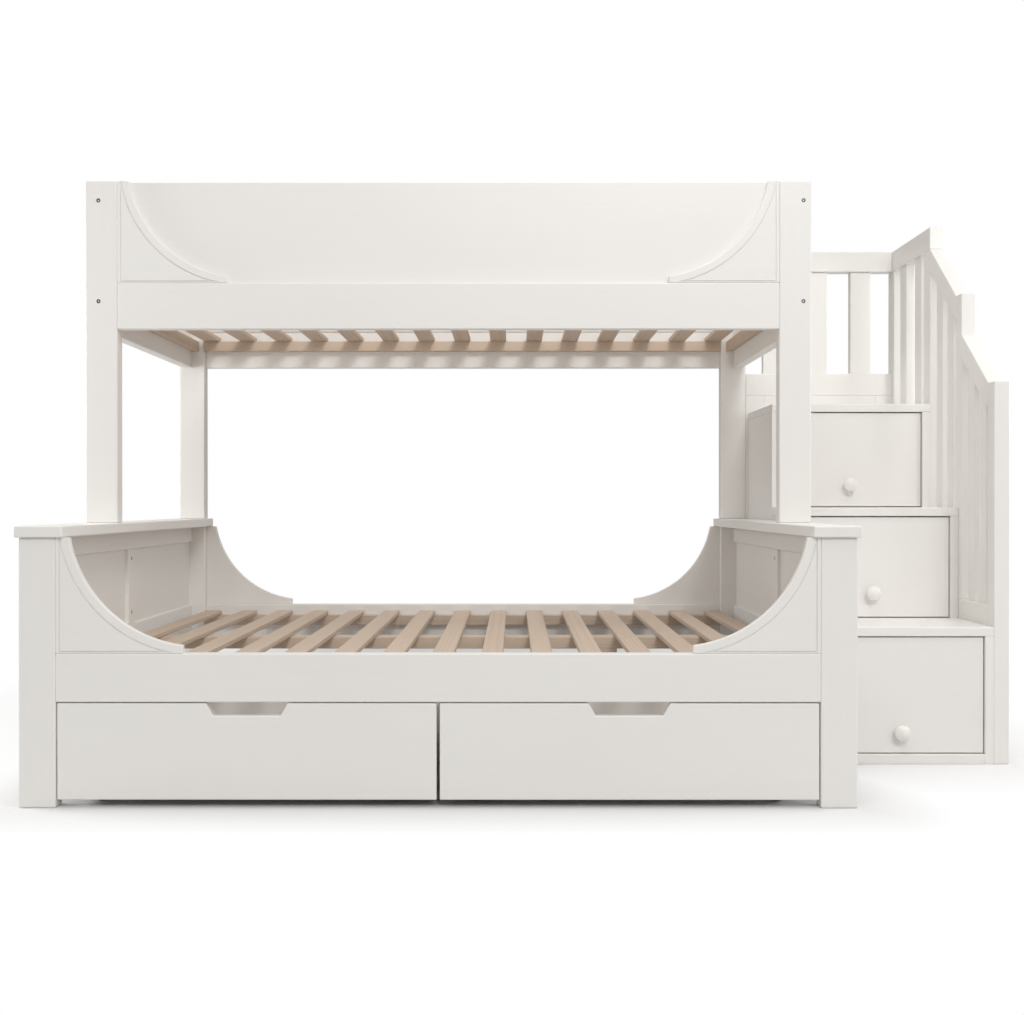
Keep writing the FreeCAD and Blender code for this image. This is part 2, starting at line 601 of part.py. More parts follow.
def stair_inside():
    """Plinth, the floors of the three cupboards and the stops behind their doors."""
    front = STEP_FRONTS[0]
    add("stair_plinth", board(INSIDE_LEFT, INSIDE_RIGHT, front, front + PLINTH_THICKNESS,
                              0, PLINTH_HEIGHT, EASE_SMALL))
    floors = [(front + PLINTH_THICKNESS, PLINTH_HEIGHT)]
    for index in range(1, len(STEP_FRONTS)):
        floors.append((STEP_FRONTS[index] + TREAD_TONGUE, TREAD_TOPS[index - 1]))
    middle = (DOOR_LEFT + DOOR_RIGHT) / 2
    for index, (y0, top) in enumerate(floors):
        add("stair_floors", box(INSIDE_LEFT, INSIDE_RIGHT, y0, STAIR_BACK_Y, top - FLOOR_THICKNESS, top))
        stop_y = STEP_FRONTS[index] + DOOR_RECESS + DOOR_THICKNESS + STOP_GAP
        add("stair_floors", board(middle - STOP_LENGTH / 2, middle + STOP_LENGTH / 2, stop_y,
                                  stop_y + STOP_DEPTH, top, top + STOP_HEIGHT, EASE_SMALL))


def stair_back():
    """Framed back with a thin board; its left stile stands against the bed, notched for the cap shelf."""
    left = STAIR_LEFT + BACK_STILE_WIDTH
    right = STAIR_RIGHT - BACK_STILE_WIDTH
    rail_z = STAIR_BACK_TOP - BACK_RAIL_HEIGHT
    board_y = STAIR_BACK_Y + (STAIR_BACK_DEPTH - BACK_BOARD_THICKNESS) / 2
    left_stile = board(POST_OUTER_X, left, STAIR_BACK_Y, REAR_Y, 0, STAIR_BACK_TOP, EASE_SMALL)
    notch = box(POST_OUTER_X, POST_OUTER_X + CAP_OVERHANG_OUT, STAIR_BACK_Y, REAR_Y,
                LOWER_LEG_HEIGHT, CAP_TOP)
    add("stair_back",
        left_stile.cut(notch),
        board(right, STAIR_RIGHT, STAIR_BACK_Y, REAR_Y, 0, STAIR_BACK_TOP, EASE_SMALL),
        board(left, right, STAIR_BACK_Y, REAR_Y, rail_z, STAIR_BACK_TOP, EASE_SMALL),
        box(left, right, board_y, board_y + BACK_BOARD_THICKNESS, 0, rail_z))


def knob(x, y, z):
    """Turned knob: foot, tapered neck and a domed head, standing out towards -Y."""
    def at(radius, reach):
        return Vector(radius, -reach, 0)

    shoulder_reach = KNOB_RIM_REACH + KNOB_RIM_HALF_WIDTH
    dome_height = KNOB_LENGTH - shoulder_reach
    dome_bend = (KNOB_DOME_RADIUS ** 2 + dome_height ** 2) / (2 * dome_height)
    half_way = KNOB_DOME_RADIUS / 2
    half_way_reach = KNOB_LENGTH - dome_bend + (dome_bend ** 2 - half_way ** 2) ** 0.5
    foot = at(KNOB_FOOT_RADIUS, KNOB_FOOT_LENGTH)
    neck = at(KNOB_NECK_RADIUS, KNOB_NECK_REACH)
    under_head = at(KNOB_DOME_RADIUS, KNOB_RIM_REACH - KNOB_RIM_HALF_WIDTH)
    shoulder = at(KNOB_DOME_RADIUS, shoulder_reach)
    crown = at(0, KNOB_LENGTH)
    edges = [
        Part.makeLine(at(0, 0), at(KNOB_FOOT_RADIUS, 0)),
        Part.makeLine(at(KNOB_FOOT_RADIUS, 0), foot),
        Part.makeLine(foot, neck),
        Part.makeLine(neck, under_head),
        Part.Arc(under_head, at(KNOB_RIM_RADIUS, KNOB_RIM_REACH), shoulder).toShape(),
        Part.Arc(shoulder, at(half_way, half_way_reach), crown).toShape(),
        Part.makeLine(crown, at(0, 0)),
    ]
    outline = Part.Face(Part.Wire(edges))
    turned = outline.revolve(Vector(0, 0, 0), Vector(0, 1, 0), 360)
    turned.translate(Vector(x, y, z))
    return turned


def flap_doors():
    names = ("lower", "middle", "upper")
    middle = (DOOR_LEFT + DOOR_RIGHT) / 2
    bottoms = (PLINTH_HEIGHT, TREAD_TOPS[0], TREAD_TOPS[1])
    hole_radius = PIVOT_RADIUS + RUNNING_CLEARANCE
    for index, name in enumerate(names):
        y0 = STEP_FRONTS[index] + DOOR_RECESS
        z0 = bottoms[index] + DOOR_BOTTOM_GAP
        z1 = TREAD_TOPS[index] - TREAD_THICKNESS - DOOR_TOP_GAP
        door = board(DOOR_LEFT, DOOR_RIGHT, y0, y0 + DOOR_THICKNESS, z0, z1, EASE_SMALL)
        y, z = door_pivot(index)
        for x, inward in ((DOOR_LEFT, 1), (DOOR_RIGHT, -1)):
            ahead = Vector(inward, 0, 0)
            door = door.cut(rod(hole_radius, PIVOT_IN_DOOR + STOP_GAP, Vector(x, y, z), ahead))
            start = Vector(x, y, z) - ahead * (DOOR_SIDE_GAP + PIVOT_IN_SIDE)
            add("door_pivot_pins", rod(PIVOT_RADIUS, PIVOT_IN_SIDE + DOOR_SIDE_GAP + PIVOT_IN_DOOR,
                                       start, ahead))
        add(f"{name}_door", door)
        add(f"{name}_door_knob", knob(middle, y0, z0 + KNOB_HEIGHTS[index]))


# ---------------------------------------------------------------- handrail and back railing
def slope_height(y, low, high):
    """Height on a straight line between two (Y, Z) points."""
    return low[1] + (high[1] - low[1]) * (y - low[0]) / (high[0] - low[0])


def handrail():
    x0 = STAIR_RIGHT
    x1 = HANDRAIL_OUTER_X
    front = STEP_FRONTS[0]
    front_back = front + HANDRAIL_FRONT_POST
    mid_back = HANDRAIL_MID_FRONT + HANDRAIL_MID_POST
    high_back = HANDRAIL_HIGH_FRONT + HANDRAIL_HIGH_POST
    low_z = HANDRAIL_BOTTOM_RAIL_TOP
    top_z = HANDRAIL_TOP_RAIL_BOTTOM
    add("handrail_posts",
        board(x0, x1, front, front_back, 0, HANDRAIL_FRONT_TOP),
        board(x0, x1, HANDRAIL_MID_FRONT, mid_back, low_z, HANDRAIL_MID_TOP),
        board(x0, x1, HANDRAIL_HIGH_FRONT, high_back, low_z, top_z),
        board(x0, x1, HANDRAIL_CORNER_FRONT, REAR_Y, 0, top_z))
    add("handrail_bottom_rail", board(x0, x1, front_back, HANDRAIL_CORNER_FRONT,
                                      low_z - HANDRAIL_BOTTOM_RAIL_HEIGHT, low_z))
    add("handrail_rails", board(x0, x1, HANDRAIL_HIGH_FRONT, REAR_Y, top_z, TOTAL_HEIGHT))
    slopes = [((front_back, HANDRAIL_FRONT_TOP), (HANDRAIL_MID_FRONT, SLOPE_MEETS_MID_POST)),
              ((mid_back, HANDRAIL_MID_TOP), (HANDRAIL_HIGH_FRONT, top_z))]
    bx0 = x0 + BALUSTER_RECESS
    bx1 = x1 - BALUSTER_RECESS
    for low, high in slopes:
        points = [Vector(x0, low[0], low[1] - SLOPE_DEPTH), Vector(x0, high[0], high[1] - SLOPE_DEPTH),
                  Vector(x0, high[0], high[1]), Vector(x0, low[0], low[1])]
        add("handrail_rails", eased(prism(points, x1 - x0, Vector(1, 0, 0)), EASE_BOARD))
        gap = (high[0] - low[0] - BALUSTERS_PER_SLOPE * BALUSTER_WIDTH) / (BALUSTERS_PER_SLOPE + 1)
        for index in range(BALUSTERS_PER_SLOPE):
            y0 = low[0] + gap + index * (gap + BALUSTER_WIDTH)
            y1 = y0 + BALUSTER_WIDTH
            outline = [Vector(bx0, y0, low_z), Vector(bx0, y1, low_z),
                       Vector(bx0, y1, slope_height(y1, low, high) - SLOPE_DEPTH),
                       Vector(bx0, y0, slope_height(y0, low, high) - SLOPE_DEPTH)]
            add("handrail_balusters", eased(prism(outline, bx1 - bx0, Vector(1, 0, 0)), EASE_SMALL))
    rear_middle = (high_back + HANDRAIL_CORNER_FRONT) / 2
    for offset in (-REAR_SLAT_PITCH / 2, REAR_SLAT_PITCH / 2):
        y0 = rear_middle + offset - REAR_SLAT_WIDTH / 2
        add("handrail_balusters", board(bx0, bx1, y0, y0 + REAR_SLAT_WIDTH, low_z, top_z, EASE_SMALL))


def back_railing():
    """Railing on the stair back behind the top step, from the bed's rear post to the handrail."""
    x0 = POST_OUTER_X
    x1 = STAIR_RIGHT
    y0 = REAR_Y - POST_DEPTH
    low_z = STAIR_BACK_TOP + RAILING_BOTTOM_RAIL_HEIGHT
    top_z = HANDRAIL_TOP_RAIL_BOTTOM
    add("back_railing",
        board(x0, x1, y0, REAR_Y, STAIR_BACK_TOP, low_z),
        board(x0, x1, y0, REAR_Y, top_z, TOTAL_HEIGHT))
    slat_y = y0 + (POST_DEPTH - BALUSTER_THICKNESS) / 2
    for index in range(RAILING_SLAT_COUNT):
        x = x0 + RAILING_FIRST_GAP + index * RAILING_SLAT_PITCH
        add("back_railing", board(x, x + RAILING_SLAT_WIDTH, slat_y, slat_y + BALUSTER_THICKNESS,
                                  low_z, top_z, EASE_SMALL))


# ---------------------------------------------------------------- build and save
def build():
    lower_legs()
    lower_end_frames()
    cap_shelves()
    lower_side_rails()
    lower_wings()
    lower_deck()
    upper_posts()
    frame_bolts()
    upper_side_rails()
    upper_end_frames()
    upper_deck()
    drawer("left")
    drawer("right")
    stair_sides()
    treads()
    stair_inside()
    stair_back()
    flap_doors()
    handrail()
    back_railing()


def save():
    os.makedirs("parts", exist_ok=True)
    shift = Vector(-ORIGIN_X, -ORIGIN_Y, 0)
    for name, solids in sorted(nodes.items()):
        shape = Part.makeCompound(solids) if len(solids) > 1 else solids[0]
        shape.translate(shift)
        shape.exportStep(f"parts/{name}.step")
        box_of = shape.BoundBox
        print(f"{name:32s} solids {len(shape.Solids):3d}  valid {shape.isValid()}  "
              f"z {box_of.ZMin:8.2f} to {box_of.ZMax:8.2f}")
    print(f"{len(nodes)} nodes")


build()
save()
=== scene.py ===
"""Bunk bed with storage stairs: satin warm-white paint, bare pine, burnished bolts, dark castors."""
import math

import bpy
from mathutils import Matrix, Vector


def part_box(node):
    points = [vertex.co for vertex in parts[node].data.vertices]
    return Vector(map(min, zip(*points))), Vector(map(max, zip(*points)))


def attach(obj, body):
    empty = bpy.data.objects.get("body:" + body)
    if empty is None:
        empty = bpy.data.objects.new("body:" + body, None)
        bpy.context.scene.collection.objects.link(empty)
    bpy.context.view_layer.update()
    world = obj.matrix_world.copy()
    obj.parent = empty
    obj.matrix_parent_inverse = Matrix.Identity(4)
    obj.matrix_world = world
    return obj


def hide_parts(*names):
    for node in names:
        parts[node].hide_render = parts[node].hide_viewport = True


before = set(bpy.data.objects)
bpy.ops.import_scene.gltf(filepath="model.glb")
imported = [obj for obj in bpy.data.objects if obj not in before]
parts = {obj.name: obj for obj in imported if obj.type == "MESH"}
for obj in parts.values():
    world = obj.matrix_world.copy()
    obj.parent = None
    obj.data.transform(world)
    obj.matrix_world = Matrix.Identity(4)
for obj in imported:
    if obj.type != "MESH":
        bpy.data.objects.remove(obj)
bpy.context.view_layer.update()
bpy.ops.object.select_all(action="DESELECT")


# ---------------------------------------------------------------- camera at the photograph's angle
CAMERA_PLACE = (-0.10015, -3.56503, 0.75919)
CAMERA_DIP = 0.00361
CAMERA_TURN = 0.001444
SENSOR_WIDTH = 36
LENS = 40.358

bpy.ops.object.camera_add(location=CAMERA_PLACE, rotation=(math.pi / 2 - CAMERA_DIP, 0, CAMERA_TURN))
camera = bpy.context.object
camera.name = "camera"
camera.data.sensor_fit = "HORIZONTAL"
camera.data.sensor_width = SENSOR_WIDTH
camera.data.lens = LENS
camera.data.clip_end = 100
bpy.context.scene.camera = camera
bpy.context.scene.view_settings.view_transform = "Standard"


# ---------------------------------------------------------------- finishes
UNSTRETCHED = (1, 1, 1)
MIX_COLOUR_INPUTS = (6, 7)
MIX_COLOUR_OUTPUT = 2


def new_finish(name):
    """A material with its nodes, its links and its shader."""
    finish = bpy.data.materials.new(name)
    finish.use_nodes = True
    tree = finish.node_tree
    return finish, tree.nodes, tree.links, tree.nodes["Principled BSDF"]


def stretched(nodes, links, place, scale):
    """A place stretched by a scale on each axis."""
    stretch = nodes.new("ShaderNodeMapping")
    stretch.inputs["Scale"].default_value = scale
    links.new(place, stretch.inputs["Vector"])
    return stretch.outputs["Vector"]


def stretched_place(nodes, links, scale):
    """The object's own coordinates in metres, stretched by a scale on each axis."""
    return stretched(nodes, links, nodes.new("ShaderNodeTexCoord").outputs["Object"], scale)


def along(grain, lengthwise, across):
    """Scale of a pattern that is drawn out along the grain's axis."""
    return tuple(lengthwise if axis == grain else across for axis in "xyz")


def noise(nodes, links, place, scale, detail, roughness):
    """Cloudy pattern around 0.5."""
    cloud = nodes.new("ShaderNodeTexNoise")
    cloud.inputs["Scale"].default_value = scale
    cloud.inputs["Detail"].default_value = detail
    cloud.inputs["Roughness"].default_value = roughness
    links.new(place, cloud.inputs["Vector"])
    return cloud.outputs["Fac"]


def ranged(nodes, links, value, before, after):
    """The value moved from the range before to the range after."""
    span = nodes.new("ShaderNodeMapRange")
    for socket, number in zip(("From Min", "From Max", "To Min", "To Max"), (*before, *after)):
        span.inputs[socket].default_value = number
    links.new(value, span.inputs["Value"])
    return span.outputs["Result"]


def worked(nodes, links, operation, first, second):
    """Two values, or a value and a number, put through one sum."""
    step = nodes.new("ShaderNodeMath")
    step.operation = operation
    links.new(first, step.inputs[0])
    if isinstance(second, (int, float)):
        step.inputs[1].default_value = second
    else:
        links.new(second, step.inputs[1])
    return step.outputs["Value"]


def worked_vector(nodes, links, operation, first, second=None):
    """A vector put through one operation, alone or with a fixed vector."""
    step = nodes.new("ShaderNodeVectorMath")
    step.operation = operation
    links.new(first, step.inputs[0])
    if second is not None:
        step.inputs[1].default_value = second
    return step.outputs["Value" if operation == "LENGTH" else "Vector"]


def blended(nodes, links, share, first, second):
    """A colour between two, by a share from 0 to 1."""
    mix = nodes.new("ShaderNodeMix")
    mix.data_type = "RGBA"
    links.new(share, mix.inputs["Factor"])
    for number, colour in zip(MIX_COLOUR_INPUTS, (first, second)):
        if isinstance(colour, tuple):
            mix.inputs[number].default_value = (*colour, 1)
        else:
            links.new(colour, mix.inputs[number])
    return mix.outputs[MIX_COLOUR_OUTPUT]


def raised(nodes, links, height, distance, strength, under=None):
    """The surface's direction over fine relief, on top of the coarser relief under it."""
    bump = nodes.new("ShaderNodeBump")
    bump.inputs["Distance"].default_value = distance
    bump.inputs["Strength"].default_value = strength
    links.new(height, bump.inputs["Height"])
    if under is not None:
        links.new(under, bump.inputs["Normal"])
    return bump.outputs["Normal"]


PAINT = (0.845, 0.829, 0.804)
PAINT_IN_POOLS = (0.830, 0.811, 0.783)
FIBRES_IN_TONE = 0.45
PATCHES_IN_TONE = 0.55


def painted_wood(name, grain):
    """Sprayed satin paint: faint grain telegraphing through, fine orange peel, uneven sheen."""
    finish, nodes, links, shader = new_finish(name)
    drawn_out = stretched_place(nodes, links, along(grain, lengthwise=2.5, across=70))
    even = stretched_place(nodes, links, UNSTRETCHED)
    fibres = noise(nodes, links, drawn_out, scale=1.0, detail=6, roughness=0.6)
    peel = noise(nodes, links, even, scale=420, detail=2, roughness=0.5)
    patches = noise(nodes, links, even, scale=2.6, detail=3, roughness=0.5)
    tone = worked(nodes, links, "ADD", worked(nodes, links, "MULTIPLY", fibres, FIBRES_IN_TONE),
                  worked(nodes, links, "MULTIPLY", patches, PATCHES_IN_TONE))
    pooled = ranged(nodes, links, tone, (0.35, 0.68), (0, 1))
    links.new(blended(nodes, links, pooled, PAINT, PAINT_IN_POOLS), shader.inputs["Base Color"])
    links.new(ranged(nodes, links, tone, (0.3, 0.7), (0.40, 0.50)), shader.inputs["Roughness"])
    grain_relief = raised(nodes, links, fibres, distance=0.0004, strength=0.15)
    peel_relief = raised(nodes, links, peel, distance=0.0002, strength=0.12, under=grain_relief)
    links.new(peel_relief, shader.inputs["Normal"])
    return finish


PINE_LIGHT = (0.640, 0.520, 0.418)
PINE_DARK = (0.500, 0.383, 0.291)
PINE_HEART = (0.575, 0.452, 0.355)
# How far apart in the log, in metres, two boards can have been sawn.
SAWN_LENGTHWISE = 3.0
SAWN_ACROSS = 0.11
SAWN_UP = 0.09


def planed_pine(name, grain, board_pitch):
    """Bare planed pine: rings cut lengthwise, fine fibres, and a tone for each board of its row."""
    across = "x" if grain == "y" else "y"
    finish, nodes, links, shader = new_finish(name)
    place = nodes.new("ShaderNodeTexCoord").outputs["Object"]
    split = nodes.new("ShaderNodeSeparateXYZ")
    links.new(place, split.inputs["Vector"])
    board = worked(nodes, links, "DIVIDE", split.outputs[across.upper()], board_pitch)
    board = worked(nodes, links, "ROUND", board, 0)
    lottery = nodes.new("ShaderNodeTexWhiteNoise")
    lottery.noise_dimensions = "1D"
    links.new(board, lottery.inputs["W"])
    sawn_from = {grain: SAWN_LENGTHWISE, across: SAWN_ACROSS, "z": SAWN_UP}
    shuffle = nodes.new("ShaderNodeVectorMath")
    shuffle.operation = "MULTIPLY_ADD"
    links.new(lottery.outputs["Color"], shuffle.inputs[0])
    shuffle.inputs[1].default_value = tuple(sawn_from[axis] for axis in "xyz")
    links.new(place, shuffle.inputs[2])
    log = shuffle.outputs["Vector"]

    rings = nodes.new("ShaderNodeTexWave")
    rings.wave_type = "RINGS"
    rings.rings_direction = grain.upper()
    rings.wave_profile = "SAW"
    for socket, number in (("Scale", 1.0), ("Distortion", 3.2), ("Detail", 3), ("Detail Scale", 0.9)):
        rings.inputs[socket].default_value = number
    links.new(stretched(nodes, links, log, along(grain, lengthwise=1.6, across=42)), rings.inputs["Vector"])
    fibre_place = stretched(nodes, links, log, along(grain, lengthwise=9, across=900))
    fibres = noise(nodes, links, fibre_place, scale=1.0, detail=4, roughness=0.6)
    cloud_place = stretched(nodes, links, log, along(grain, lengthwise=2.0, across=14))
    clouds = noise(nodes, links, cloud_place, scale=1.0, detail=3, roughness=0.5)

    late_wood = ranged(nodes, links, rings.outputs["Fac"], (0.35, 1.0), (0, 0.5))
    late_wood = worked(nodes, links, "ADD", late_wood,
                       ranged(nodes, links, fibres, (0.35, 0.65), (-0.13, 0.13)))
    late_wood = worked(nodes, links, "ADD", late_wood,
                       ranged(nodes, links, lottery.outputs["Value"], (0, 1), (-0.12, 0.12)))
    bare = blended(nodes, links, ranged(nodes, links, late_wood, (0, 1), (0, 1)), PINE_LIGHT, PINE_DARK)
    heart = ranged(nodes, links, clouds, (0.35, 0.7), (0, 0.6))
    links.new(blended(nodes, links, heart, bare, PINE_HEART), shader.inputs["Base Color"])
    links.new(ranged(nodes, links, fibres, (0.3, 0.7), (0.52, 0.68)), shader.inputs["Roughness"])
    ring_relief = raised(nodes, links, rings.outputs["Fac"], distance=0.0003, strength=0.2)
    fibre_relief = raised(nodes, links, fibres, distance=0.0002, strength=0.3, under=ring_relief)
    links.new(fibre_relief, shader.inputs["Normal"])
    shader.inputs["Specular IOR Level"].default_value = 0.35
    return finish


def metal(name, dull, bright, smooth, coarse):
    """Plated or burnished steel with fine crystals in its colour and its gloss."""
    finish, nodes, links, shader = new_finish(name)
    even = stretched_place(nodes, links, UNSTRETCHED)
    crystals = noise(nodes, links, even, scale=260, detail=3, roughness=0.6)
    links.new(blended(nodes, links, crystals, dull, bright), shader.inputs["Base Color"])
    links.new(ranged(nodes, links, crystals, (0.3, 0.7), (smooth, coarse)), shader.inputs["Roughness"])
    shader.inputs["Metallic"].default_value = 1.0
    links.new(raised(nodes, links, crystals, distance=0.0001, strength=0.2), shader.inputs["Normal"])
    return finish


def moulded(name, dark, light, smooth, coarse):
    """Dark moulding with a fine grit on its surface."""
    finish, nodes, links, shader = new_finish(name)
    even = stretched_place(nodes, links, UNSTRETCHED)
    grit = noise(nodes, links, even, scale=900, detail=3, roughness=0.6)
    links.new(blended(nodes, links, grit, dark, light), shader.inputs["Base Color"])
    links.new(ranged(nodes, links, grit, (0.3, 0.7), (smooth, coarse)), shader.inputs["Roughness"])
    links.new(raised(nodes, links, grit, distance=0.0001, strength=0.35), shader.inputs["Normal"])
    return finish


SLAT_PITCH = 0.132
LEDGER_PITCH = 0.6
paint_along = {grain: painted_wood(f"warm_white_paint_{grain}", grain) for grain in "xyz"}
slat_pine = planed_pine("slat_pine", "y", SLAT_PITCH)
ledger_pine = planed_pine("ledger_pine", "x", LEDGER_PITCH)
zinc_steel = metal("zinc_steel", dull=(0.50, 0.50, 0.51), bright=(0.62, 0.62, 0.64),
                   smooth=0.28, coarse=0.42)
burnished_steel = metal("burnished_steel", dull=(0.10, 0.10, 0.105), bright=(0.16, 0.16, 0.165),
                        smooth=0.30, coarse=0.45)
# Painted highlight: a bright steel laid into the bolt sockets, so each dark head shows a light centre.
painted_highlight_steel = metal("painted_highlight_steel", dull=(0.74, 0.74, 0.75), bright=(0.84, 0.84, 0.85),
                     smooth=0.42, coarse=0.55)
hub_plastic = moulded("hub_plastic", dark=(0.045, 0.045, 0.048), light=(0.075, 0.075, 0.079),
                      smooth=0.38, coarse=0.50)
tyre_rubber = moulded("tyre_rubber", dark=(0.028, 0.028, 0.030), light=(0.046, 0.046, 0.048),
                      smooth=0.68, coarse=0.82)

GRAIN_ALONG_X = (
    "lower_front_rail", "lower_rear_rail", "lower_wings",
    "upper_front_rail", "upper_rear_rail", "upper_front_guard", "upper_rear_guard", "upper_wings",
    "left_drawer_front", "right_drawer_front", "left_drawer_box", "right_drawer_box",
    "stair_plinth", "stair_floors", "stair_back", "lower_tread", "middle_tread", "upper_tread",
    "lower_door", "middle_door", "upper_door", "lower_door_knob", "middle_door_knob", "upper_door_knob",
)
GRAIN_ALONG_Y = (
    "lower_end_rails", "lower_end_panels", "cap_shelves", "upper_end_rails", "upper_end_panels",
    "handrail_bottom_rail", "handrail_rails",
)
GRAIN_ALONG_Z = (
    "lower_front_left_leg", "lower_front_right_leg", "lower_rear_left_leg", "lower_rear_right_leg",
    "upper_front_left_post", "upper_front_right_post", "upper_rear_left_post", "upper_rear_right_post",
    "lower_end_stiles", "access_post", "stair_left_side", "stair_right_side",
    "handrail_posts", "handrail_balusters", "back_railing",
)
WHEEL_ROWS = (
    "left_drawer_front_wheels", "left_drawer_rear_wheels",
    "right_drawer_front_wheels", "right_drawer_rear_wheels",
)


def finish_parts(names, finish):
    """Give every face of the named CAD nodes one finish."""
    for name in names:
        for slot in parts[name].material_slots:
            slot.material = finish


finish_parts(GRAIN_ALONG_X, paint_along["x"])
finish_parts(GRAIN_ALONG_Y, paint_along["y"])
finish_parts(GRAIN_ALONG_Z, paint_along["z"])
finish_parts(("lower_slats", "upper_slats"), slat_pine)
finish_parts(("lower_slat_ledgers", "upper_slat_ledgers", "centre_beam"), ledger_pine)
finish_parts(("frame_bolts", "door_pivot_pins"), zinc_steel)
finish_parts(("left_drawer_castor_brackets", "right_drawer_castor_brackets"), zinc_steel)
finish_parts(WHEEL_ROWS, hub_plastic)


# ---------------------------------------------------------------- modelling by hand
SMOOTH_BELOW = 0.6      # radians: a sharper edge stays an edge
FACING = 0.9            # share of a unit normal that counts as facing an axis
HAIR = 0.0001           # room for rounding where a face is picked by its place
ROUND_STEPS = 3         # segments across a rounded edge


def choose_faces(piece, wanted):
    """Select, in edit mode, only the faces that the test picks."""
    bpy.ops.object.mode_set(mode="EDIT")
    bpy.ops.mesh.select_mode(type="FACE")
    bpy.ops.mesh.select_all(action="DESELECT")
    bpy.ops.object.mode_set(mode="OBJECT")
    for face in piece.data.polygons:
        face.select = wanted(face)
    bpy.ops.object.mode_set(mode="EDIT")


def apply_modifier(piece, kind, **settings):
    """Add a modifier with its settings to the piece and apply it at once."""
    modifier = piece.modifiers.new(kind.lower(), kind)
    for name, value in settings.items():
        setattr(modifier, name, value)
    bpy.ops.object.modifier_apply(modifier=modifier.name)


def tidy_mesh():
    """Merge doubles and turn every face outwards, in edit mode, and return to object mode."""
    bpy.ops.mesh.select_all(action="SELECT")
    bpy.ops.mesh.remove_doubles(threshold=0.00001)
    bpy.ops.mesh.normals_make_consistent(inside=False)
    bpy.ops.object.mode_set(mode="OBJECT")


def placed_copy(pattern, name, place, turn):
    """A copy with its own mesh, turned and moved to its place, its object left at the origin."""
    bpy.ops.object.select_all(action="DESELECT")
    copy = pattern.copy()
    copy.data = pattern.data.copy()
    copy.name = copy.data.name = name
    bpy.context.collection.objects.link(copy)
    copy.location = place
    copy.rotation_euler = turn
    copy.select_set(True)
    bpy.context.view_layer.objects.active = copy
    bpy.ops.object.transform_apply(location=True, rotation=True, scale=True)
    return copy


def discard(piece):
    """Take a pattern or a cutter out of the scene."""
    bpy.data.objects.remove(piece, do_unlink=True)


HEAD_RADIUS = 0.006
HEAD_LENGTH = 0.004
HEAD_SIDES = 48
RIM_ROUND = 0.0007
SHANK_RADIUS = 0.003
TIP_LENGTH = 0.0005
TIP_SQUEEZE = 0.8
SOCKET_RADIUS = 0.0028
SOCKET_DEPTH = 0.0022


def socket_bolt(name, length):
    """Bolt along -Z, its head's face at the origin: rounded rim, hexagon socket, plain shank."""
    bpy.ops.mesh.primitive_cylinder_add(vertices=HEAD_SIDES, radius=HEAD_RADIUS, depth=HEAD_LENGTH,
                                        location=(0, 0, -HEAD_LENGTH / 2))
    bolt = bpy.context.object
    bolt.name = name
    bpy.ops.object.transform_apply(location=True, rotation=True, scale=True)
    choose_faces(bolt, lambda face: face.normal.z < -FACING)
    bpy.ops.mesh.inset(thickness=HEAD_RADIUS - SHANK_RADIUS)
    for drop in (length - HEAD_LENGTH - TIP_LENGTH, TIP_LENGTH):
        bpy.ops.mesh.extrude_region_move(TRANSFORM_OT_translate={"value": (0, 0, -drop)})
    bpy.ops.transform.resize(value=(TIP_SQUEEZE, TIP_SQUEEZE, 1))
    choose_faces(bolt, lambda face: face.normal.z > FACING and face.center.z > -HAIR)
    bpy.ops.mesh.bevel(offset=RIM_ROUND, segments=ROUND_STEPS)
    tidy_mesh()
    bpy.ops.mesh.primitive_cylinder_add(vertices=6, radius=SOCKET_RADIUS, depth=2 * SOCKET_DEPTH)
    hexagon = bpy.context.object
    bpy.ops.object.select_all(action="DESELECT")
    bolt.select_set(True)
    bpy.context.view_layer.objects.active = bolt
    apply_modifier(bolt, "BOOLEAN", operation="DIFFERENCE", object=hexagon, solver="EXACT")
    discard(hexagon)
    bpy.ops.object.shade_smooth_by_angle(angle=SMOOTH_BELOW)
    bolt.data.materials.clear()
    bolt.data.materials.append(burnished_steel)
    bolt.data.materials.append(painted_highlight_steel)
    # The socket's faces take the bright steel: a painted highlight at the centre of each dark head.
    for face in bolt.data.polygons:
        from_axis = math.hypot(face.center.x, face.center.y)
        in_depth = -SOCKET_DEPTH - HAIR < face.center.z < -HAIR
        face.material_index = int(from_axis < SOCKET_RADIUS and in_depth)
    return bolt


LONG_BOLT_LENGTH = 0.084
SHORT_SCREW_LENGTH = 0.019
BOLT_FROM_POST_SIDE = {"left": 0.038, "right": 0.023}
BOLTS_APART = 0.290
SCREWS_APART = 0.167
SCREW_FACE_IN_STILE = 0.036


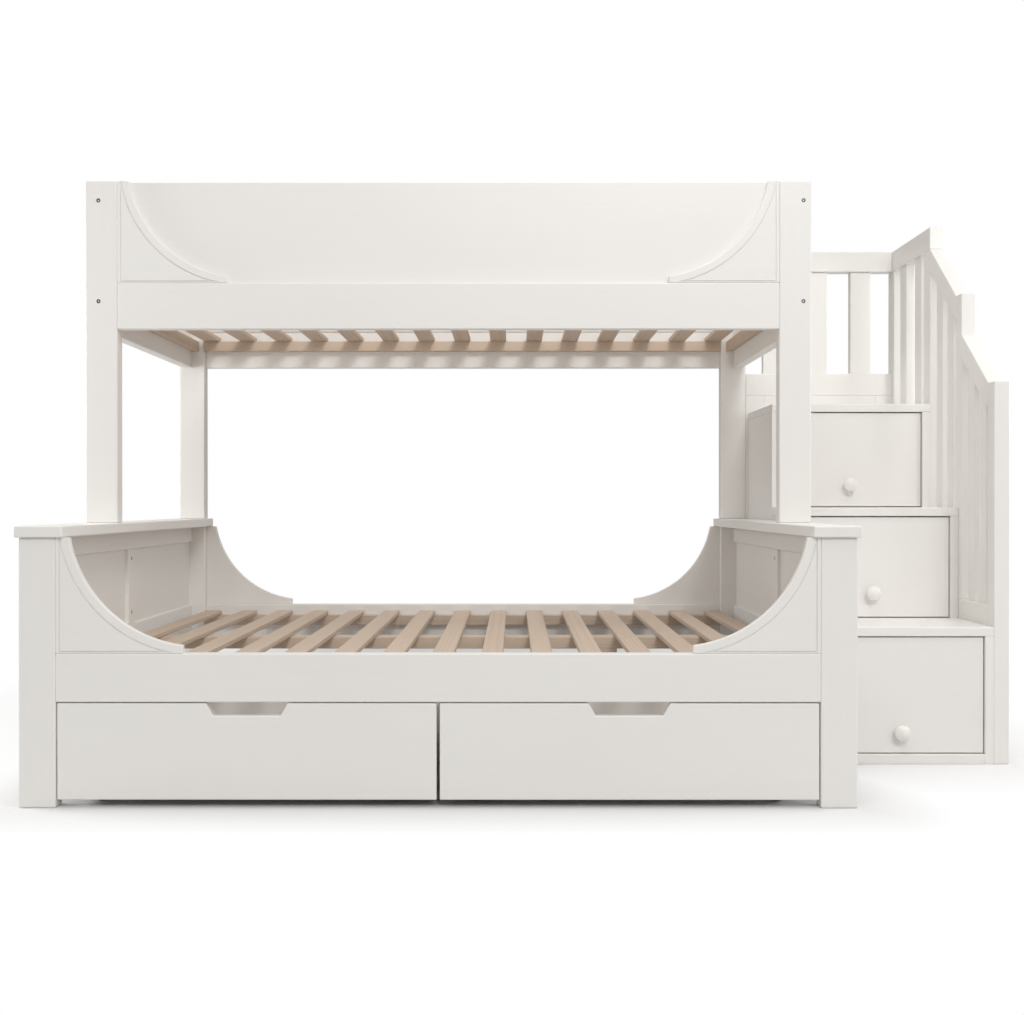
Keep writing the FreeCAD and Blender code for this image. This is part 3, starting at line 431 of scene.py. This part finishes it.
def frame_bolts():
    """Four long bolts through the front posts and four short screws in the end stiles."""
    low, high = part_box("frame_bolts")
    stiles_low, stiles_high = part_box("lower_end_stiles")
    head_face = low[1]
    upper_bolt = high[2] - HEAD_RADIUS
    lower_screw = low[2] + HEAD_RADIUS
    stile_middle = (stiles_low[1] + stiles_high[1]) / 2
    bolt_places = {
        "left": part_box("upper_front_left_post")[0][0] + BOLT_FROM_POST_SIDE["left"],
        "right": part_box("upper_front_right_post")[1][0] - BOLT_FROM_POST_SIDE["right"],
    }
    screw_places = {
        "left": (stiles_low[0] + SCREW_FACE_IN_STILE, math.pi / 2),
        "right": (stiles_high[0] - SCREW_FACE_IN_STILE, -math.pi / 2),
    }
    long_bolt = socket_bolt("long_bolt_pattern", LONG_BOLT_LENGTH)
    short_screw = socket_bolt("short_screw_pattern", SHORT_SCREW_LENGTH)
    bolts = []
    for side, x in bolt_places.items():
        for level, z in (("lower", upper_bolt - BOLTS_APART), ("upper", upper_bolt)):
            bolts.append(placed_copy(long_bolt, f"{side}_post_{level}_bolt", (x, head_face, z),
                                     (math.pi / 2, 0, 0)))
    for side, (x, turn) in screw_places.items():
        for level, z in (("lower", lower_screw), ("upper", lower_screw + SCREWS_APART)):
            bolts.append(placed_copy(short_screw, f"{side}_stile_{level}_screw", (x, stile_middle, z),
                                     (0, turn, 0)))
    discard(long_bolt)
    discard(short_screw)
    for bolt in bolts:
        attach(bolt, "root")
        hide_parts("frame_bolts")


WHEEL_RADIUS = 0.025
WHEEL_WIDTH = 0.018
WHEEL_SIDES = 56
BORE_RADIUS = 0.00305
TYRE_LIP = 0.0030
TYRE_DEPTH = 0.0034
DISH_STEP = 0.0012
DISH_SQUEEZE = 0.60
WEB_HEIGHT = 0.0088
HUB_STEP = 0.0012
HUB_STRETCH = 1.58
WHEEL_EDGE_ROUND = 0.0009
WHEEL_EDGE_ANGLE = math.radians(25)


def castor_wheel():
    """Wheel about the X axis: rounded tyre, dished web, raised hub and an open bore."""
    bpy.ops.mesh.primitive_cylinder_add(vertices=WHEEL_SIDES, radius=WHEEL_RADIUS, depth=WHEEL_WIDTH,
                                        rotation=(0, math.pi / 2, 0))
    wheel = bpy.context.object
    bpy.ops.object.transform_apply(location=True, rotation=True, scale=True)
    choose_faces(wheel, lambda face: abs(face.normal.x) > FACING)
    hub_radius = WHEEL_RADIUS
    steps = ((TYRE_LIP, 1.0), (DISH_STEP, DISH_SQUEEZE), (WEB_HEIGHT, 1.0), (HUB_STEP, HUB_STRETCH))
    for inset, squeeze in steps:
        bpy.ops.mesh.inset(thickness=inset)
        bpy.ops.transform.resize(value=(squeeze, 1, 1), center_override=(0, 0, 0))
        hub_radius -= inset
    bpy.ops.mesh.inset(thickness=hub_radius - BORE_RADIUS)
    bpy.ops.mesh.bridge_edge_loops()
    tidy_mesh()
    apply_modifier(wheel, "BEVEL", width=WHEEL_EDGE_ROUND, segments=ROUND_STEPS, limit_method="ANGLE",
                   angle_limit=WHEEL_EDGE_ANGLE)
    bpy.ops.object.shade_smooth_by_angle(angle=SMOOTH_BELOW)
    wheel.data.materials.clear()
    wheel.data.materials.append(hub_plastic)
    wheel.data.materials.append(tyre_rubber)
    for face in wheel.data.polygons:
        from_axle = math.hypot(face.center.y, face.center.z)
        face.material_index = int(from_axle > WHEEL_RADIUS - TYRE_DEPTH)
    return wheel


def drawer_wheels():
    """Two wheels in each row, each row riding on its own rolling body."""
    pattern = castor_wheel()
    for row in WHEEL_ROWS:
        low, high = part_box(row)
        middle = ((low[1] + high[1]) / 2, (low[2] + high[2]) / 2)
        for end, x in (("left", low[0] + WHEEL_WIDTH / 2), ("right", high[0] - WHEEL_WIDTH / 2)):
            name = f"{row.removesuffix('_wheels')}_{end}_wheel"
            wheel = placed_copy(pattern, name, (x, *middle), (0, 0, 0))
            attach(wheel, row)
            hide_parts(row)
    discard(pattern)


frame_bolts()
drawer_wheels()


# ---------------------------------------------------------------- studio
WHITE = (1, 1, 1, 1)
FLOOR_SIZE = 60
FLOOR_THAT_LIGHTS = (0.60, 0.60, 0.60)
FLOOR_THAT_IS_SEEN = (0.76, 0.76, 0.76)
# Middle and half size of a box of shaded floor, and how far round it the shade fades, in metres.
SHADED_FLOOR = (
    ((-0.290, 0.0, 0.0), (1.050, 0.715, 0.05), 0.22),      # under the beds
    ((1.050, 0.2465, 0.0), (0.290, 0.4735, 0.05), 0.34),   # under the stairs
    ((-0.290, 1.8, 0.0), (0.750, 1.1, 0.05), 1.2),         # behind, where the shadow falls
)


def outside_box(nodes, links, place, middle, half, reach):
    """0 inside a box, growing to 1 at the reach round it."""
    from_middle = worked_vector(nodes, links, "SUBTRACT", place, middle)
    from_middle = worked_vector(nodes, links, "ABSOLUTE", from_middle)
    past_side = worked_vector(nodes, links, "SUBTRACT", from_middle, half)
    past_side = worked_vector(nodes, links, "MAXIMUM", past_side, (0, 0, 0))
    away = worked_vector(nodes, links, "LENGTH", past_side)
    return ranged(nodes, links, away, (0, reach), (0, 1))


def white_floor():
    """White ground that only darkens where the bed shades it, and is plain white further out."""
    bpy.ops.mesh.primitive_plane_add(size=FLOOR_SIZE)
    floor = bpy.context.object
    floor.name = "studio_floor"
    finish, nodes, links, shader = new_finish("studio_white")
    shader.inputs["Roughness"].default_value = 0.9
    shader.inputs["Specular IOR Level"].default_value = 0.1
    path = nodes.new("ShaderNodeLightPath")
    seen = worked(nodes, links, "MAXIMUM", path.outputs["Is Camera Ray"], path.outputs["Is Glossy Ray"])
    seen = worked(nodes, links, "MAXIMUM", seen, path.outputs["Is Transmission Ray"])
    links.new(blended(nodes, links, seen, FLOOR_THAT_LIGHTS, FLOOR_THAT_IS_SEEN),
              shader.inputs["Base Color"])
    glow = nodes.new("ShaderNodeEmission")
    glow.inputs["Color"].default_value = WHITE
    place = stretched_place(nodes, links, UNSTRETCHED)
    shares = [outside_box(nodes, links, place, *box) for box in SHADED_FLOOR]
    far_out = shares[0]
    for share in shares[1:]:
        far_out = worked(nodes, links, "MINIMUM", far_out, share)
    mix = nodes.new("ShaderNodeMixShader")
    links.new(worked(nodes, links, "MULTIPLY", seen, far_out), mix.inputs["Fac"])
    links.new(shader.outputs["BSDF"], mix.inputs[1])
    links.new(glow.outputs["Emission"], mix.inputs[2])
    links.new(mix.outputs["Shader"], nodes["Material Output"].inputs["Surface"])
    floor.data.materials.append(finish)


SKY_COLOUR = (1.0, 0.985, 0.955, 1)
SKY_STRENGTH = 0.78
SKY_FULL_FROM = 0.5     # height on a dome of radius 1


def pale_surroundings():
    """Soft light that grows from the horizon upwards, in front of which the camera sees plain white."""
    world = bpy.data.worlds.new("studio")
    bpy.context.scene.world = world
    world.use_nodes = True
    nodes = world.node_tree.nodes
    links = world.node_tree.links
    sky = nodes["Background"]
    sky.inputs["Color"].default_value = SKY_COLOUR
    direction = nodes.new("ShaderNodeTexCoord")
    split = nodes.new("ShaderNodeSeparateXYZ")
    links.new(direction.outputs["Generated"], split.inputs["Vector"])
    links.new(ranged(nodes, links, split.outputs["Z"], (0, SKY_FULL_FROM), (0, SKY_STRENGTH)),
              sky.inputs["Strength"])
    plain = nodes.new("ShaderNodeBackground")
    plain.inputs["Strength"].default_value = 1.0
    plain.inputs["Color"].default_value = WHITE
    path = nodes.new("ShaderNodeLightPath")
    seen = worked(nodes, links, "MAXIMUM", path.outputs["Is Camera Ray"],
                  path.outputs["Is Transmission Ray"])
    mix = nodes.new("ShaderNodeMixShader")
    links.new(seen, mix.inputs["Fac"])
    links.new(sky.outputs["Background"], mix.inputs[1])
    links.new(plain.outputs["Background"], mix.inputs[2])
    links.new(mix.outputs["Shader"], nodes["World Output"].inputs["Surface"])


def soft_lamp(name, place, aim, size, power):
    """White disk lamp turned towards its aim, never seen itself."""
    bpy.ops.object.light_add(type="AREA", location=place)
    lamp = bpy.context.object
    lamp.name = name
    lamp.rotation_euler = (Vector(aim) - Vector(place)).to_track_quat("-Z", "Y").to_euler()
    lamp.data.shape = "DISK"
    lamp.data.size = size
    lamp.data.energy = power
    lamp.data.color = (1.0, 1.0, 1.0)
    lamp.visible_camera = False


# Name, place, aim, width of the disk in metres, power in watts
LAMPS = (
    ("key_lamp", (2.138, -9.393, 7.510), (-0.1, 0.3, 0.8), 2.9, 350),
    ("front_top_lamp", (0.4, -1.3, 3.2), (0.2, 0.5, 0.9), 1.2, 12),
    ("left_side_lamp", (-2.5, -0.3, 1.2), (-0.2, 0.5, 0.8), 0.8, 16),
    ("right_side_lamp", (2.8, -0.25, 1.4), (0.8, 0.5, 1.0), 0.8, 17),
    ("low_left_lamp", (-10.5, -5.7, 1.6), (-0.1, 0.3, 0.8), 3.4, 28),
    ("low_right_lamp", (7.1, -8.4, 4.9), (-0.1, 0.3, 0.8), 3.4, 80),
)

white_floor()
pale_surroundings()
for lamp in LAMPS:
    soft_lamp(*lamp)
